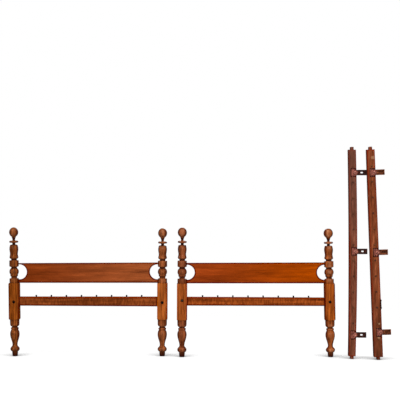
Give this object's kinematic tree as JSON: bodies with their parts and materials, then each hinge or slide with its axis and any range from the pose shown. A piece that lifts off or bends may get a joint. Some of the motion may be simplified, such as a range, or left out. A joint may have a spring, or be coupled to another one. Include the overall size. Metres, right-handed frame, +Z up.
{
  "type": "bed frame",
  "caption": "Turned low-post bed frame, taken apart: panelled ends with ball finials stand beside bracketed side rails, and bed bolts slide and turn in the posts.",
  "frame": {"origin": "on the floor under the middle of the whole row of sections", "axes": "+X along the row from the head end to the side rails, +Y from the outer faces to the backs, +Z up"},
  "size_m": [3.3556, 0.3945, 1.852],
  "materials": {
    "post_maple": "polished reddish-brown varnish",
    "panel_maple": "polished reddish-brown varnish over mottled grain",
    "end_rail_maple": "polished varnish over curly grain",
    "side_rail_maple": "dull worn varnish",
    "peg_wood": "dark and worn",
    "pin_wood": "dull",
    "plate_iron": "rubbed, rust-brown",
    "arm_iron": "dark rust-brown",
    "screw_iron": "dark",
    "bolt_iron": "dark forged"
  },
  "bodies": {
    "root": {"head_left_post": "post_maple", "head_right_post": "post_maple", "foot_left_post": "post_maple", "foot_right_post": "post_maple", "head_panel": "panel_maple", "head_rail": "end_rail_maple", "head_rope_pegs": "peg_wood", "head_draw_pins": "pin_wood", "foot_panel": "panel_maple", "foot_rail": "end_rail_maple", "foot_rope_pegs": "peg_wood", "foot_draw_pins": "pin_wood", "left_side_rail": "side_rail_maple", "left_rail_pegs": "peg_wood", "left_rail_nuts": "bolt_iron", "left_low_plate": "plate_iron", "left_low_arm": "arm_iron", "left_mid_plate": "plate_iron", "left_mid_arm": "arm_iron", "left_high_plate": "plate_iron", "left_high_arm": "arm_iron", "left_boss_screws": "plate_iron", "left_plate_screws": "screw_iron", "right_side_rail": "side_rail_maple", "right_rail_pegs": "peg_wood", "right_rail_nuts": "bolt_iron", "right_low_plate": "plate_iron", "right_low_arm": "arm_iron", "right_mid_plate": "plate_iron", "right_mid_arm": "arm_iron", "right_high_plate": "plate_iron", "right_high_arm": "arm_iron", "right_boss_screws": "plate_iron", "right_plate_screws": "screw_iron", "left_arm_rivets": "screw_iron", "edge_plate": "screw_iron", "edge_plate_screws": "screw_iron"},
    "head_left_washer": {"head_left_washer": "bolt_iron"},
    "head_left_bolt": {"head_left_bolt": "bolt_iron"},
    "head_right_washer": {"head_right_washer": "bolt_iron"},
    "head_right_bolt": {"head_right_bolt": "bolt_iron"},
    "foot_left_washer": {"foot_left_washer": "bolt_iron"},
    "foot_left_bolt": {"foot_left_bolt": "bolt_iron"},
    "foot_right_washer": {"foot_right_washer": "bolt_iron"},
    "foot_right_bolt": {"foot_right_bolt": "bolt_iron"}
  },
  "joints": [
    {"name": "head_left_bolt_slide", "type": "slide", "parent": "root", "child": "head_left_washer", "axis": [0, -1, 0], "range_m": [0, 0.14]},
    {"name": "head_left_bolt_turn", "type": "hinge", "parent": "head_left_washer", "child": "head_left_bolt", "pos_m": [-1.62979, 0.05775, 0.485], "axis": [0, -1, 0], "continuous": true},
    {"name": "head_right_bolt_slide", "type": "slide", "parent": "root", "child": "head_right_washer", "axis": [0, -1, 0], "range_m": [0, 0.14]},
    {"name": "head_right_bolt_turn", "type": "hinge", "parent": "head_right_washer", "child": "head_right_bolt", "pos_m": [-0.31379, 0.05775, 0.479], "axis": [0, -1, 0], "continuous": true},
    {"name": "foot_left_bolt_slide", "type": "slide", "parent": "root", "child": "foot_left_washer", "axis": [0, -1, 0], "range_m": [0, 0.14]},
    {"name": "foot_left_bolt_turn", "type": "hinge", "parent": "foot_left_washer", "child": "foot_left_bolt", "pos_m": [-0.13779, 0.00775, 0.502], "axis": [0, -1, 0], "continuous": true},
    {"name": "foot_right_bolt_slide", "type": "slide", "parent": "root", "child": "foot_right_washer", "axis": [0, -1, 0], "range_m": [0, 0.14]},
    {"name": "foot_right_bolt_turn", "type": "hinge", "parent": "foot_right_washer", "child": "foot_right_bolt", "pos_m": [1.16721, 0.00775, 0.489], "axis": [0, -1, 0], "continuous": true}
  ]
}
